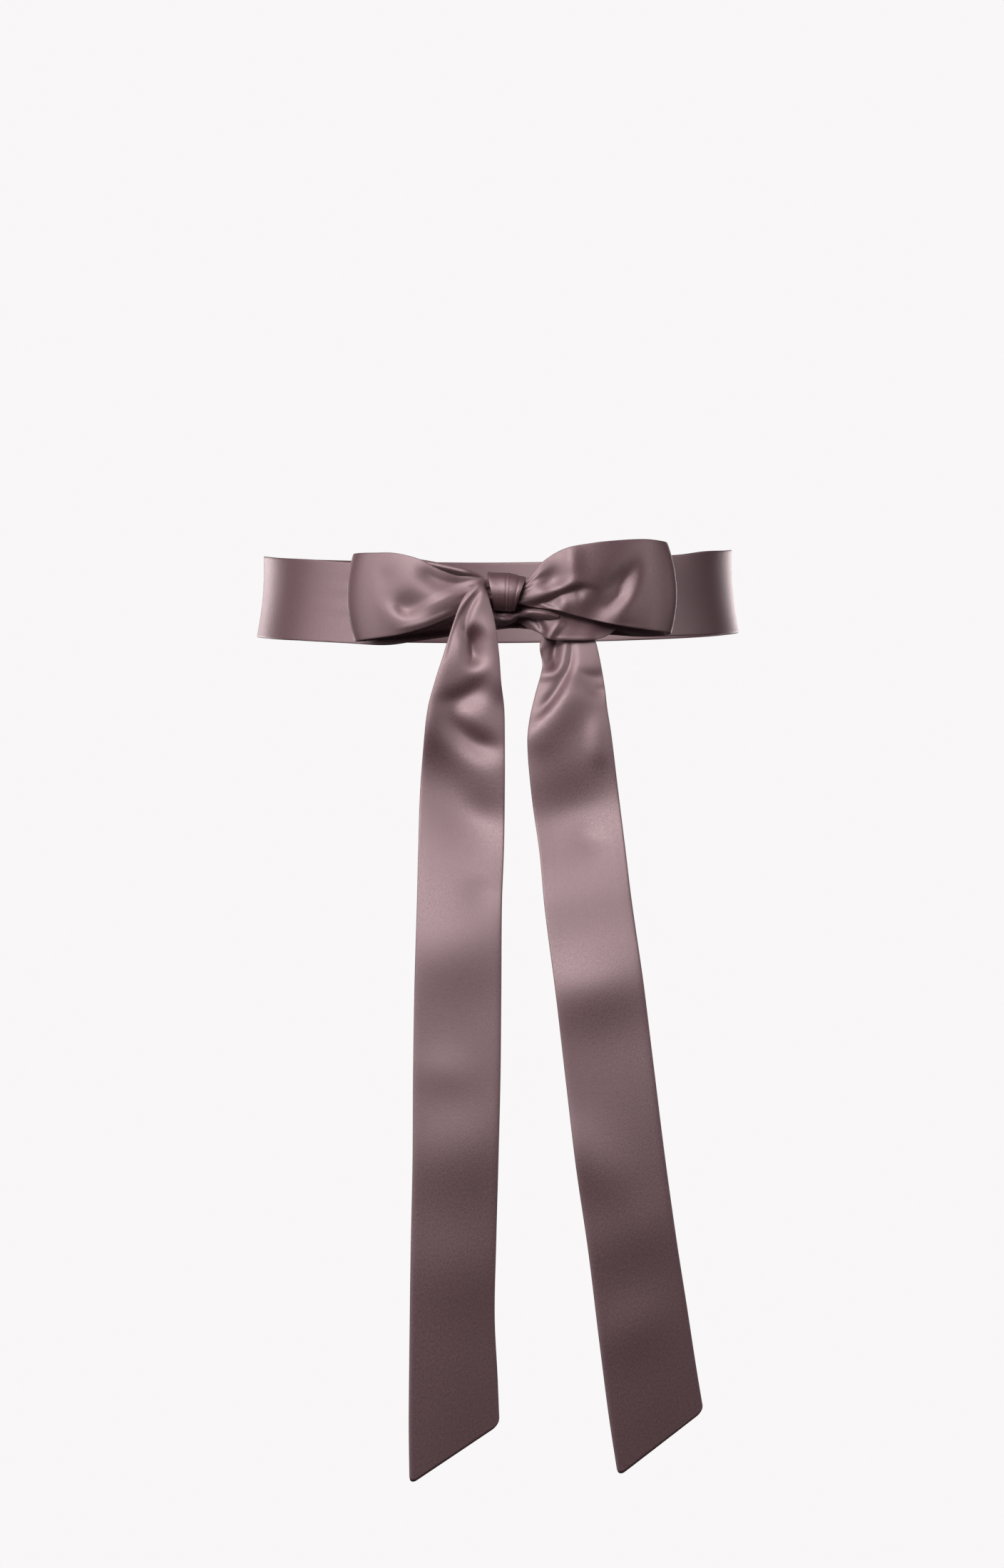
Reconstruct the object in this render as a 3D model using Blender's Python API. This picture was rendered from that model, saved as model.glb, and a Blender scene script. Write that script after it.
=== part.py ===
"""A satin sash worn round a waist and tied behind in a bow with two long tails.

The sash is one long double-layer ribbon, turned through and pressed, with slanted ends. Each
stretch that shows is its own piece: the waist band, the two loops of the bow, the turn over
its middle, the short stretch under that turn, the flap over which the right tail folds, and
the two tails. They keep the hollow pose in which they are worn. Metres, +Z up. +Y points to
the wearer's front, -Y to the bow, and the origin is the middle of the waist hollow at half
the band's height.
"""

import math
from typing import NamedTuple

import bmesh
import bpy

RIBBON_WIDTH = 0.055
CLOTH_THICKNESS = 0.0012
SATIN_COLOUR = (0.258, 0.171, 0.188, 1.0)
SATIN_ROUGHNESS = 0.36

# Waist band, measured to the middle of the cloth
WAIST_HALF_WIDTH = 0.1560
WAIST_HALF_DEPTH = 0.1070
SIDE_FLARE = 0.0022
SIDE_HOLLOW = 0.0016
GATHER_PLEATS = 3
GATHER_PHASE = 0.6
GATHER_INSET = 0.5

# Knot: the turn of ribbon over the middle of the bow
KNOT_DEPTH_CENTRE = -0.1213
KNOT_HALF_DEPTH = 0.0117
KNOT_BULGE = 0.0009
KNOT_LEFT_CENTRE_Z = -0.0078
KNOT_RIGHT_CENTRE_Z = -0.0098
KNOT_LEFT_HALF_HEIGHT = 0.0113
KNOT_RIGHT_HALF_HEIGHT = 0.0103
KNOT_LEFT_TOP_X = -0.0068
KNOT_LEFT_LOW_X = -0.0023
KNOT_RIGHT_TOP_X = 0.0181
KNOT_RIGHT_LOW_X = 0.0108

# Loops: the share of their length, from the knot, that their near layer takes up, and the
# share over which its folds fade out before the outer fold. Other stretches are near all along
NEAR_LAYER_SHARE = 0.42
FOLD_FADE_SHARE = 0.10
WHOLE_LENGTH = 2.0

# Slanted tail ends
CORNER_RADIUS = 0.0045
TAIL_LENGTH = 0.56

# Mesh steps along and across each stretch
BAND_STEPS = (84, 8)
LOOP_STEPS = (44, 10)
WRAP_STEPS = (28, 6)
UNDER_STEPS = (20, 8)
FLAP_STEPS = (20, 8)
TAIL_STEPS = (48, 10)


class BandSection(NamedTuple):
    """A cross line of the waist band, at an angle from the back centre, positive to the right."""

    angle: float
    top: float
    low: float
    gather: float


class Section(NamedTuple):
    """A cross line of a free stretch: its two edges, and how far its middle stands off them."""

    x_first: float
    y_first: float
    z_first: float
    x_second: float
    y_second: float
    z_second: float
    swell: float
    spread: float


class Fold(NamedTuple):
    """A soft ridge, or a trough where rise is negative, along a line seen from behind."""

    x_from: float
    z_from: float
    x_to: float
    z_to: float
    reach: float
    rise: float


BAND_SECTIONS = (
    BandSection(-180, 0.0305, -0.0245, 0.0000),
    BandSection(-150, 0.0300, -0.0250, 0.0000),
    BandSection(-120, 0.0280, -0.0265, 0.0000),
    BandSection(-90, 0.0250, -0.0285, 0.0000),
    BandSection(-65, 0.0199, -0.0331, 0.0000),
    BandSection(-50, 0.0168, -0.0362, 0.0000),
    BandSection(-37, 0.0135, -0.0388, 0.0000),
    BandSection(-27, 0.0118, -0.0406, 0.0003),
    BandSection(-19, 0.0096, -0.0383, 0.0010),
    BandSection(-11, 0.0060, -0.0356, 0.0016),
    BandSection(-4, 0.0024, -0.0330, 0.0018),
    BandSection(3, 0.0008, -0.0306, 0.0018),
    BandSection(8, 0.0016, -0.0312, 0.0016),
    BandSection(12.5, 0.0040, -0.0322, 0.0012),
    BandSection(17.5, 0.0078, -0.0330, 0.0008),
    BandSection(23, 0.0112, -0.0336, 0.0005),
    BandSection(28.5, 0.0140, -0.0341, 0.0002),
    BandSection(36, 0.0168, -0.0346, 0.0000),
    BandSection(49, 0.0199, -0.0327, 0.0000),
    BandSection(60, 0.0236, -0.0311, 0.0000),
    BandSection(73, 0.0261, -0.0284, 0.0000),
    BandSection(90, 0.0291, -0.0255, 0.0000),
    BandSection(120, 0.0306, -0.0243, 0.0000),
    BandSection(150, 0.0310, -0.0240, 0.0000),
    BandSection(180, 0.0305, -0.0245, 0.0000),
)

# First edge on top, from the near layer's root in the knot, round the outer fold, and back
LOOP_LEFT = (
    Section(0.0030, -0.1248, -0.0012, 0.0030, -0.1252, -0.0150, 0.0000, 0.0000),
    Section(-0.0068, -0.1262, -0.0008, -0.0068, -0.1260, -0.0125, 0.0008, 0.0000),
    Section(-0.0170, -0.1285, 0.0006, -0.0170, -0.1275, -0.0165, 0.0015, 0.0000),
    Section(-0.0262, -0.1295, 0.0012, -0.0262, -0.1275, -0.0232, 0.0022, 0.0000),
    Section(-0.0380, -0.1300, 0.0056, -0.0360, -0.1268, -0.0278, 0.0028, 0.0000),
    Section(-0.0489, -0.1290, 0.0114, -0.0465, -0.1252, -0.0318, 0.0032, 0.0000),
    Section(-0.0647, -0.1240, 0.0159, -0.0624, -0.1210, -0.0358, 0.0034, 0.0000),
    Section(-0.0790, -0.1170, 0.0168, -0.0775, -0.1145, -0.0376, 0.0024, -0.0010),
    Section(-0.0882, -0.1100, 0.0172, -0.0872, -0.1080, -0.0384, 0.0010, -0.0028),
    Section(-0.0918, -0.1030, 0.0172, -0.0909, -0.1020, -0.0386, 0.0000, -0.0044),
    Section(-0.0882, -0.0978, 0.0170, -0.0878, -0.0970, -0.0384, 0.0000, -0.0030),
    Section(-0.0780, -0.0982, 0.0164, -0.0775, -0.0978, -0.0374, 0.0000, 0.0000),
    Section(-0.0600, -0.1045, 0.0148, -0.0600, -0.1040, -0.0352, 0.0000, 0.0000),
    Section(-0.0443, -0.1088, 0.0122, -0.0443, -0.1078, -0.0322, 0.0000, 0.0000),
    Section(-0.0262, -0.1128, 0.0077, -0.0262, -0.1115, -0.0250, 0.0000, 0.0000),
    Section(-0.0150, -0.1145, 0.0044, -0.0150, -0.1135, -0.0185, 0.0000, 0.0000),
    Section(-0.0060, -0.1160, 0.0003, -0.0060, -0.1160, -0.0150, 0.0000, 0.0000),
    Section(0.0030, -0.1165, -0.0004, 0.0030, -0.1165, -0.0150, 0.0000, 0.0000),
)

LOOP_RIGHT = (
    Section(0.0056, -0.1262, -0.0030, 0.0056, -0.1262, -0.0160, 0.0000, 0.0000),
    Section(0.0172, -0.1264, -0.0030, 0.0125, -0.1256, -0.0162, 0.0006, 0.0000),
    Section(0.0280, -0.1290, 0.0095, 0.0235, -0.1262, -0.0186, 0.0020, 0.0000),
    Section(0.0416, -0.1310, 0.0177, 0.0360, -0.1270, -0.0206, 0.0028, 0.0000),
    Section(0.0597, -0.1310, 0.0217, 0.0560, -0.1270, -0.0257, 0.0035, 0.0000),
    Section(0.0780, -0.1265, 0.0240, 0.0776, -0.1235, -0.0304, 0.0036, 0.0000),
    Section(0.0935, -0.1190, 0.0253, 0.0950, -0.1165, -0.0324, 0.0026, 0.0010),
    Section(0.1035, -0.1110, 0.0250, 0.1060, -0.1085, -0.0332, 0.0010, 0.0028),
    Section(0.1077, -0.1040, 0.0245, 0.1103, -0.1020, -0.0336, 0.0000, 0.0048),
    Section(0.1040, -0.0980, 0.0243, 0.1065, -0.0965, -0.0345, 0.0000, 0.0030),
    Section(0.0910, -0.0985, 0.0250, 0.0920, -0.0970, -0.0350, 0.0000, 0.0000),
    Section(0.0720, -0.1055, 0.0236, 0.0730, -0.1055, -0.0312, 0.0000, 0.0000),
    Section(0.0560, -0.1095, 0.0208, 0.0550, -0.1100, -0.0252, 0.0000, 0.0000),
    Section(0.0400, -0.1120, 0.0158, 0.0380, -0.1120, -0.0212, 0.0000, 0.0000),
    Section(0.0280, -0.1140, 0.0085, 0.0250, -0.1125, -0.0190, 0.0000, 0.0000),
    Section(0.0180, -0.1160, -0.0030, 0.0140, -0.1155, -0.0156, 0.0000, 0.0000),
    Section(0.0056, -0.1165, -0.0026, 0.0056, -0.1165, -0.0156, 0.0000, 0.0000),
)

# First edge on top, from behind the left tail, under the knot, and out to the right as a roll
KNOT_UNDER = (
    Section(-0.0070, -0.1150, -0.0208, -0.0070, -0.1115, -0.0262, 0.0020, 0.0000),
    Section(-0.0010, -0.1182, -0.0220, -0.0010, -0.1125, -0.0284, 0.0042, 0.0000),
    Section(0.0045, -0.1196, -0.0221, 0.0045, -0.1130, -0.0292, 0.0052, 0.0000),
    Section(0.0095, -0.1190, -0.0219, 0.0095, -0.1140, -0.0276, 0.0036, 0.0000),
    Section(0.0135, -0.1186, -0.0216, 0.0135, -0.1170, -0.0246, 0.0024, 0.0000),
    Section(0.0185, -0.1215, -0.0200, 0.0185, -0.1200, -0.0246, 0.0044, 0.0000),
    Section(0.0250, -0.1224, -0.0198, 0.0250, -0.1208, -0.0258, 0.0050, 0.0000),
    Section(0.0320, -0.1230, -0.0212, 0.0320, -0.1222, -0.0260, 0.0040, 0.0000),
    Section(0.0385, -0.1236, -0.0236, 0.0385, -0.1236, -0.0252, 0.0010, 0.0000),
)

# First edge on top, from behind the knot to the right, where the right tail folds down
FLAP_RIGHT = (
    Section(0.0128, -0.1086, -0.0205, 0.0128, -0.1082, -0.0268, 0.0000, 0.0000),
    Section(0.0190, -0.1120, -0.0198, 0.0190, -0.1122, -0.0308, 0.0008, 0.0000),
    Section(0.0262, -0.1168, -0.0196, 0.0262, -0.1178, -0.0345, 0.0014, 0.0000),
    Section(0.0335, -0.1186, -0.0202, 0.0325, -0.1222, -0.0388, 0.0020, 0.0000),
    Section(0.0470, -0.1186, -0.0226, 0.0465, -0.1232, -0.0396, 0.0024, 0.0000),
    Section(0.0600, -0.1180, -0.0252, 0.0600, -0.1222, -0.0393, 0.0020, 0.0000),
    Section(0.0690, -0.1148, -0.0262, 0.0690, -0.1176, -0.0364, 0.0010, 0.0000),
    Section(0.0765, -0.1110, -0.0265, 0.0765, -0.1116, -0.0306, 0.0000, 0.0000),
)

# First edge on the left, from the root in the knot down to the slanted end
TAIL_LEFT = (
    Section(0.0010, -0.1272, -0.0012, 0.0010, -0.1285, -0.0058, 0.0000, 0.0000),
    Section(-0.0085, -0.1290, -0.0014, -0.0074, -0.1293, -0.0065, 0.0006, 0.0000),
    Section(-0.0140, -0.1328, -0.0045, -0.0068, -0.1320, -0.0100, 0.0016, 0.0000),
    Section(-0.0217, -0.1342, -0.0134, -0.0050, -0.1335, -0.0165, 0.0024, 0.0000),
    Section(-0.0271, -0.1335, -0.0265, -0.0020, -0.1330, -0.0280, 0.0030, 0.0000),
    Section(-0.0343, -0.1340, -0.0496, 0.0009, -0.1332, -0.0496, 0.0030, 0.0000),
    Section(-0.0398, -0.1346, -0.0670, 0.0022, -0.1338, -0.0670, 0.0026, 0.0000),
    Section(-0.0440, -0.1354, -0.0830, 0.0041, -0.1346, -0.0830, 0.0022, 0.0000),
    Section(-0.0463, -0.1366, -0.1010, 0.0045, -0.1358, -0.1010, 0.0018, 0.0000),
    Section(-0.0490, -0.1395, -0.1359, 0.0045, -0.1386, -0.1359, 0.0012, 0.0000),
    Section(-0.0500, -0.1445, -0.1720, 0.0040, -0.1432, -0.1720, 0.0008, 0.0000),
    Section(-0.0507, -0.1520, -0.2080, 0.0027, -0.1503, -0.2080, 0.0006, 0.0000),
    Section(-0.0521, -0.1600, -0.2618, 0.0023, -0.1590, -0.2618, 0.0006, 0.0000),
    Section(-0.0528, -0.1650, -0.3150, 0.0018, -0.1655, -0.3150, 0.0008, 0.0000),
    Section(-0.0530, -0.1675, -0.3680, 0.0005, -0.1690, -0.3680, 0.0010, 0.0000),
    Section(-0.0541, -0.1675, -0.4214, -0.0008, -0.1690, -0.4160, 0.0008, 0.0000),
    Section(-0.0549, -0.1665, -0.4830, -0.0018, -0.1675, -0.4640, 0.0006, 0.0000),
    Section(-0.0553, -0.1655, -0.5320, 0.0000, -0.1665, -0.5020, 0.0006, 0.0000),
    Section(-0.0548, -0.1650, -0.5690, 0.0012, -0.1655, -0.5315, 0.0004, 0.0000),
)

TAIL_RIGHT = (
    Section(0.0310, -0.1170, -0.0290, 0.0585, -0.1165, -0.0285, 0.0000, 0.0000),
    Section(0.0288, -0.1177, -0.0350, 0.0605, -0.1178, -0.0345, 0.0004, 0.0000),
    Section(0.0266, -0.1195, -0.0428, 0.0628, -0.1195, -0.0420, 0.0010, 0.0000),
    Section(0.0282, -0.1215, -0.0560, 0.0655, -0.1215, -0.0550, 0.0020, 0.0000),
    Section(0.0240, -0.1235, -0.0730, 0.0680, -0.1232, -0.0700, 0.0024, 0.0000),
    Section(0.0203, -0.1255, -0.0890, 0.0694, -0.1250, -0.0830, 0.0020, 0.0000),
    Section(0.0187, -0.1275, -0.1050, 0.0717, -0.1270, -0.0980, 0.0014, 0.0000),
    Section(0.0213, -0.1325, -0.1380, 0.0757, -0.1310, -0.1310, 0.0010, 0.0000),
    Section(0.0262, -0.1410, -0.1740, 0.0800, -0.1385, -0.1680, 0.0008, 0.0000),
    Section(0.0294, -0.1500, -0.2100, 0.0840, -0.1475, -0.2040, 0.0006, 0.0000),
    Section(0.0362, -0.1590, -0.2640, 0.0912, -0.1580, -0.2575, 0.0006, 0.0000),
    Section(0.0424, -0.1645, -0.3180, 0.0976, -0.1650, -0.3110, 0.0008, 0.0000),
    Section(0.0486, -0.1670, -0.3710, 0.1040, -0.1685, -0.3640, 0.0010, 0.0000),
    Section(0.0563, -0.1672, -0.4240, 0.1110, -0.1685, -0.4150, 0.0008, 0.0000),
    Section(0.0630, -0.1665, -0.4790, 0.1180, -0.1675, -0.4600, 0.0006, 0.0000),
    Section(0.0690, -0.1655, -0.5260, 0.1235, -0.1662, -0.4960, 0.0006, 0.0000),
    Section(0.0748, -0.1645, -0.5640, 0.1280, -0.1650, -0.5230, 0.0004, 0.0000),
)

LOOP_LEFT_FOLDS = (
    Fold(-0.0780, 0.0070, -0.0720, 0.0040, 0.0090, -0.0022),
    Fold(-0.0600, -0.0110, -0.0510, -0.0130, 0.0085, -0.0036),
    Fold(-0.0330, -0.0090, -0.0500, -0.0180, 0.0060, 0.0024),
    Fold(-0.0620, -0.0280, -0.0820, -0.0210, 0.0080, 0.0016),
    Fold(-0.0330, 0.0010, -0.0520, 0.0050, 0.0050, 0.0018),
)

LOOP_RIGHT_FOLDS = (
    Fold(0.0240, -0.0120, 0.0460, -0.0050, 0.0042, -0.0042),
    Fold(0.0460, -0.0050, 0.0600, -0.0030, 0.0048, -0.0034),
    Fold(0.0250, -0.0040, 0.0500, 0.0045, 0.0060, 0.0030),
    Fold(0.0300, 0.0060, 0.0330, 0.0010, 0.0050, -0.0022),
    Fold(0.0640, -0.0220, 0.0930, 0.0010, 0.0085, 0.0030),
    Fold(0.0800, 0.0130, 0.0960, 0.0120, 0.0080, -0.0014),
    Fold(0.0320, -0.0150, 0.0420, -0.0150, 0.0045, 0.0018),
)

FLAP_RIGHT_FOLDS = (
    Fold(0.0440, -0.0230, 0.0350, -0.0380, 0.0045, 0.0014),
    Fold(0.0310, -0.0250, 0.0290, -0.0310, 0.0040, -0.0012),
)

TAIL_LEFT_FOLDS = (
    Fold(-0.0150, -0.0140, -0.0260, -0.0450, 0.0036, 0.0022),
    Fold(-0.0180, -0.0360, -0.0176, -0.0450, 0.0045, -0.0034),
    Fold(-0.0200, -0.0620, -0.0180, -0.0720, 0.0055, -0.0034),
    Fold(-0.0120, -0.0850, -0.0100, -0.0930, 0.0060, -0.0026),
    Fold(-0.0160, -0.1060, -0.0130, -0.1500, 0.0140, -0.0042),
    Fold(-0.0060, -0.0300, -0.0040, -0.0800, 0.0060, 0.0016),
)

TAIL_RIGHT_FOLDS = (
    Fold(0.0320, -0.0430, 0.0340, -0.0560, 0.0042, -0.0034),
    Fold(0.0430, -0.0420, 0.0430, -0.0540, 0.0040, 0.0032),
    Fold(0.0410, -0.0560, 0.0320, -0.0660, 0.0045, 0.0028),
    Fold(0.0500, -0.0440, 0.0490, -0.0640, 0.0050, -0.0022),
    Fold(0.0280, -0.1000, 0.0620, -0.1300, 0.0110, -0.0034),
    Fold(0.0640, -0.0620, 0.0560, -0.0700, 0.0040, -0.0018),
    Fold(0.0330, -0.0820, 0.0500, -0.0920, 0.0070, 0.0020),
)


def smoothstep(value):
    value = min(1.0, max(0.0, value))
    return value * value * (3 - 2 * value)


def curve_through(stations, rows, station):
    """The row of values at a station, on a smooth curve through the rows."""
    last = len(stations) - 1
    index = 0
    while index < last - 1 and station > stations[index + 1]:
        index += 1
    span = stations[index + 1] - stations[index]
    part = min(1.0, max(0.0, (station - stations[index]) / span))

    def slope(at, column):
        before, after = max(0, at - 1), min(last, at + 1)
        rise = rows[after][column] - rows[before][column]
        return rise / (stations[after] - stations[before])

    values = []
    for column in range(len(rows[0])):
        start, end = rows[index][column], rows[index + 1][column]
        leave, arrive = slope(index, column) * span, slope(index + 1, column) * span
        values.append(
            start
            + part * leave
            + part**2 * (3 * (end - start) - 2 * leave - arrive)
            + part**3 * (leave + arrive - 2 * (end - start))
        )
    return values


def stations_of(sections):
    """Distances along the middle line of a stretch, from 0 to 1."""
    middles = [
        [(a + b) / 2 for a, b in zip(section[0:3], section[3:6])] for section in sections
    ]
    distances = [0.0]
    for before, after in zip(middles, middles[1:]):
        distances.append(distances[-1] + math.dist(before, after))
    return [distance / distances[-1] for distance in distances]


def fold_rise(folds, x, z):
    """How far the folds lift a place towards the viewer behind the wearer."""
    total = 0.0
    for fold in folds:
        run_x, run_z = fold.x_to - fold.x_from, fold.z_to - fold.z_from
        along = ((x - fold.x_from) * run_x + (z - fold.z_from) * run_z) / (
            run_x**2 + run_z**2
        )
        along = min(1.0, max(0.0, along))
        distance = math.hypot(
            x - fold.x_from - along * run_x, z - fold.z_from - along * run_z
        )
        total += fold.rise * math.exp(-((distance / fold.reach) ** 2))
    return total


def stretch_point(sections, stations, folds, near_until, u, v):
    """A place on a free stretch. The folds are pressed into its near layer only."""
    row = Section(*curve_through(stations, sections, u))
    bow = 4 * v * (1 - v)
    x = row.x_first + (row.x_second - row.x_first) * v + row.spread * bow
    y = row.y_first + (row.y_second - row.y_first) * v - row.swell * bow
    z = row.z_first + (row.z_second - row.z_first) * v
    nearness = 1 - smoothstep((u - near_until) / FOLD_FADE_SHARE + 1)
    return x, y - nearness * fold_rise(folds, x, z), z


def band_point(u, v):
    """A place on the waist band, which closes on itself at the wearer's front."""
    angle = math.radians(360 * u - 180)
    stations = [section.angle for section in BAND_SECTIONS]
    row = BandSection(*curve_through(stations, BAND_SECTIONS, 360 * u - 180))
    side = math.sin(angle) ** 2
    lean = SIDE_FLARE * (2 * v - 1) - SIDE_HOLLOW * 4 * v * (1 - v)
    pleat = row.gather * (math.sin(2 * math.pi * GATHER_PLEATS * v + GATHER_PHASE) - GATHER_INSET)
    out = side * lean + pleat
    x = (WAIST_HALF_WIDTH + out) * math.sin(angle)
    y = -(WAIST_HALF_DEPTH + out) * math.cos(angle)
    return x, y, row.top + (row.low - row.top) * v


def knot_wrap_point(u, v):
    """A place on the turn over the middle: u goes round the X axis, v from left to right."""
    turn = 2 * math.pi * u
    height = (1 + math.sin(turn)) / 2
    left = KNOT_LEFT_LOW_X + (KNOT_LEFT_TOP_X - KNOT_LEFT_LOW_X) * height
    right = KNOT_RIGHT_LOW_X + (KNOT_RIGHT_TOP_X - KNOT_RIGHT_LOW_X) * height
    bulge = KNOT_BULGE * 4 * v * (1 - v)
    centre_z = KNOT_LEFT_CENTRE_Z + (KNOT_RIGHT_CENTRE_Z - KNOT_LEFT_CENTRE_Z) * v
    half_height = KNOT_LEFT_HALF_HEIGHT + (
        KNOT_RIGHT_HALF_HEIGHT - KNOT_LEFT_HALF_HEIGHT
    ) * v
    x = left + (right - left) * v
    y = KNOT_DEPTH_CENTRE - (KNOT_HALF_DEPTH + bulge) * math.cos(turn)
    z = centre_z + (half_height + bulge) * math.sin(turn)
    return x, y, z


def corner_cut(v):
    """The share of a tail's length that its rounded corners take off near each edge."""
    share = 2 * CORNER_RADIUS / RIBBON_WIDTH
    past = max(0.0, (abs(2 * v - 1) - (1 - share)) / share)
    return CORNER_RADIUS / TAIL_LENGTH * (1 - math.sqrt(max(0.0, 1 - past**2)))


def edge_dense(step, steps):
    """Places across the ribbon, closer together towards its edges."""
    even = step / steps
    return 0.5 * even + 0.25 * (1 - math.cos(math.pi * even))


def satin(name):
    material = bpy.data.materials.new("satin_" + name)
    material.use_nodes = True
    shader = material.node_tree.nodes["Principled BSDF"]
    shader.inputs["Base Color"].default_value = SATIN_COLOUR
    shader.inputs["Roughness"].default_value = SATIN_ROUGHNESS
    shader.inputs["Metallic"].default_value = 0.0
    material.diffuse_color = SATIN_COLOUR
    return material


def ribbon(name, point, steps, closed=False):
    """A stretch of ribbon: a sheet of quads through point(u, v), thickened to both sides."""
    along, across = steps
    sheet = bmesh.new()
    lines = []
    for i in range(along if closed else along + 1):
        lines.append(
            [
                sheet.verts.new(point(i / along, edge_dense(j, across)))
                for j in range(across + 1)
            ]
        )
    if closed:
        lines.append(lines[0])
    for line, following in zip(lines, lines[1:]):
        for j in range(across):
            face = sheet.faces.new((line[j], line[j + 1], following[j + 1], following[j]))
            face.smooth = True
    mesh = bpy.data.meshes.new(name)
    sheet.to_mesh(mesh)
    sheet.free()
    mesh.materials.append(satin(name))
    obj = bpy.data.objects.new(name, mesh)
    bpy.context.scene.collection.objects.link(obj)
    wall = obj.modifiers.new("cloth", "SOLIDIFY")
    wall.thickness = CLOTH_THICKNESS
    wall.offset = 0.0
    return obj


def free_stretch(name, sections, folds, steps, near_until=WHOLE_LENGTH):
    stations = stations_of(sections)
    return ribbon(
        name,
        lambda u, v: stretch_point(sections, stations, folds, near_until, u, v),
        steps,
    )


def tail(name, sections, folds):
    stations = stations_of(sections)

    def point(u, v):
        reach = u * (1 - corner_cut(v))
        return stretch_point(sections, stations, folds, WHOLE_LENGTH, reach, v)

    return ribbon(name, point, TAIL_STEPS)


def remove_startup_objects():
    for obj in list(bpy.data.objects):
        bpy.data.objects.remove(obj, do_unlink=True)


def main():
    remove_startup_objects()
    ribbon("waist_band", band_point, BAND_STEPS, closed=True)
    free_stretch("loop_left", LOOP_LEFT, LOOP_LEFT_FOLDS, LOOP_STEPS, NEAR_LAYER_SHARE)
    free_stretch("loop_right", LOOP_RIGHT, LOOP_RIGHT_FOLDS, LOOP_STEPS, NEAR_LAYER_SHARE)
    ribbon("knot_wrap", knot_wrap_point, WRAP_STEPS, closed=True)
    free_stretch("knot_under", KNOT_UNDER, (), UNDER_STEPS)
    free_stretch("flap_right", FLAP_RIGHT, FLAP_RIGHT_FOLDS, FLAP_STEPS)
    tail("tail_left", TAIL_LEFT, TAIL_LEFT_FOLDS)
    tail("tail_right", TAIL_RIGHT, TAIL_RIGHT_FOLDS)


main()
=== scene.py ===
"""A satin sash worn round a waist and tied behind in a flat bow, dressed for a studio picture.

The sash is one long double-layer satin ribbon, turned through and pressed. Each stretch that
shows is its own sheet: the waist band, the bow's two loops, the turn over its middle, the roll
under that turn, the flap over which the right tail folds, and the two tails. Places are in
metres, +Z up, with the bow on the -Y side. Creases are drawn in millimetres as seen from behind.
"""

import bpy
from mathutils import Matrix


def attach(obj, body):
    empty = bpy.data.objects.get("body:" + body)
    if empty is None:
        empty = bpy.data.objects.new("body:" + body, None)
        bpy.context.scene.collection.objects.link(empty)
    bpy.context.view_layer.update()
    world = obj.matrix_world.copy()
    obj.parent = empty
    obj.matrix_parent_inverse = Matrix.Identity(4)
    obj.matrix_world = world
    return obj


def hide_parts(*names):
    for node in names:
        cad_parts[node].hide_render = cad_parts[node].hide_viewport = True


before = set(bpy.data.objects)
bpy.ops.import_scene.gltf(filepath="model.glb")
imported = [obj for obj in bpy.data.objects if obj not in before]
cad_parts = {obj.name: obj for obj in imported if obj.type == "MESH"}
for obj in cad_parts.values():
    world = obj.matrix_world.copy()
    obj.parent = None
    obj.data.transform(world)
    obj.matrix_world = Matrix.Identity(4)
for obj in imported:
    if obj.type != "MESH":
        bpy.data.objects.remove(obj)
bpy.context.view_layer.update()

import functools
import math
from typing import NamedTuple

import bpy
import numpy as np
from mathutils import Vector

bl_info = {
    "name": "Satin Sash",
    "version": (1, 0, 0),
    "blender": (4, 5, 0),
    "location": "View3D > Sidebar > Sash",
    "description": "Builds a waist sash of satin ribbon tied in a bow, and a plain studio for it",
    "category": "Add Mesh",
}

MM = 0.001
DAB_SPACING = 0.45


class BandSection(NamedTuple):
    """A cross line of the waist band, at an angle from the back centre, positive to the right."""

    angle: float
    top: float
    low: float
    gather: float


class Section(NamedTuple):
    """A cross line of a free stretch: its two edges, and how far its middle stands off them."""

    x_first: float
    y_first: float
    z_first: float
    x_second: float
    y_second: float
    z_second: float
    swell: float
    spread: float


class Crease(NamedTuple):
    """A ridge, or a trough where rise is negative, along a path of (x, z) seen from behind.

    Its flank right of the path is narrower by the share `under`, which makes a folded edge.
    """

    path: tuple
    reach: float
    rise: float
    under: float = 1.0


BAND_SECTIONS = (
    BandSection(-180, 0.0305, -0.0245, 0.0000),
    BandSection(-150, 0.0300, -0.0250, 0.0000),
    BandSection(-120, 0.0280, -0.0265, 0.0000),
    BandSection(-90, 0.0250, -0.0285, 0.0000),
    BandSection(-65, 0.0199, -0.0331, 0.0000),
    BandSection(-50, 0.0168, -0.0362, 0.0000),
    BandSection(-37, 0.0135, -0.0388, 0.0000),
    BandSection(-27, 0.0118, -0.0406, 0.0003),
    BandSection(-19, 0.0096, -0.0383, 0.0010),
    BandSection(-11, 0.0060, -0.0356, 0.0016),
    BandSection(-4, 0.0024, -0.0330, 0.0018),
    BandSection(3, 0.0008, -0.0306, 0.0018),
    BandSection(8, 0.0016, -0.0312, 0.0016),
    BandSection(12.5, 0.0040, -0.0322, 0.0012),
    BandSection(17.5, 0.0078, -0.0330, 0.0008),
    BandSection(23, 0.0112, -0.0336, 0.0005),
    BandSection(28.5, 0.0140, -0.0341, 0.0002),
    BandSection(36, 0.0168, -0.0346, 0.0000),
    BandSection(49, 0.0199, -0.0327, 0.0000),
    BandSection(60, 0.0236, -0.0311, 0.0000),
    BandSection(73, 0.0261, -0.0284, 0.0000),
    BandSection(90, 0.0291, -0.0255, 0.0000),
    BandSection(120, 0.0306, -0.0243, 0.0000),
    BandSection(150, 0.0310, -0.0240, 0.0000),
    BandSection(180, 0.0305, -0.0245, 0.0000),
)

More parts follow.
